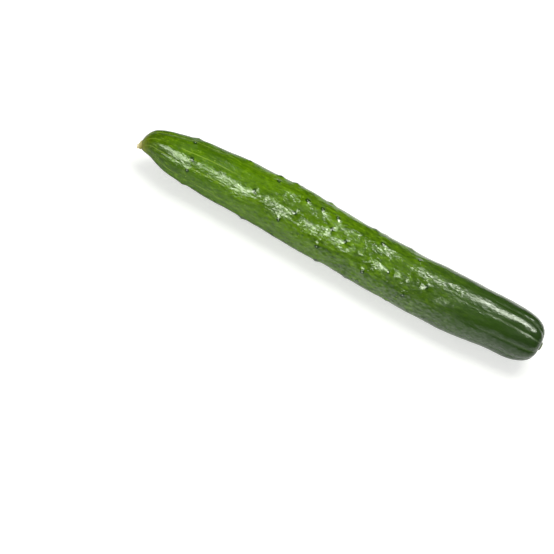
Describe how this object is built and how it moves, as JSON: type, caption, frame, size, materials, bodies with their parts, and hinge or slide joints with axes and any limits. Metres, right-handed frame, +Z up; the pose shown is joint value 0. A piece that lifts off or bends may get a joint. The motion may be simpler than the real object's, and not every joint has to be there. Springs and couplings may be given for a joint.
{
  "type": "cucumber",
  "caption": "Long slender fresh cucumber with a blunt cut stem end, a pointed blossom end with a dried nub, and small warts along faint ribs, lying on its side.",
  "frame": {"origin": "middle of the underside, at the height of the surface it rests on", "axes": "+X along the fruit towards the cut stem end, +Z up, so -X is towards the blossom end and -Y is the side that the picture shows"},
  "size_m": [0.2052, 0.031, 0.027],
  "materials": {
    "skin": "glossy"
  },
  "bodies": {
    "root": {"cucumber": "skin"}
  },
  "joints": []
}
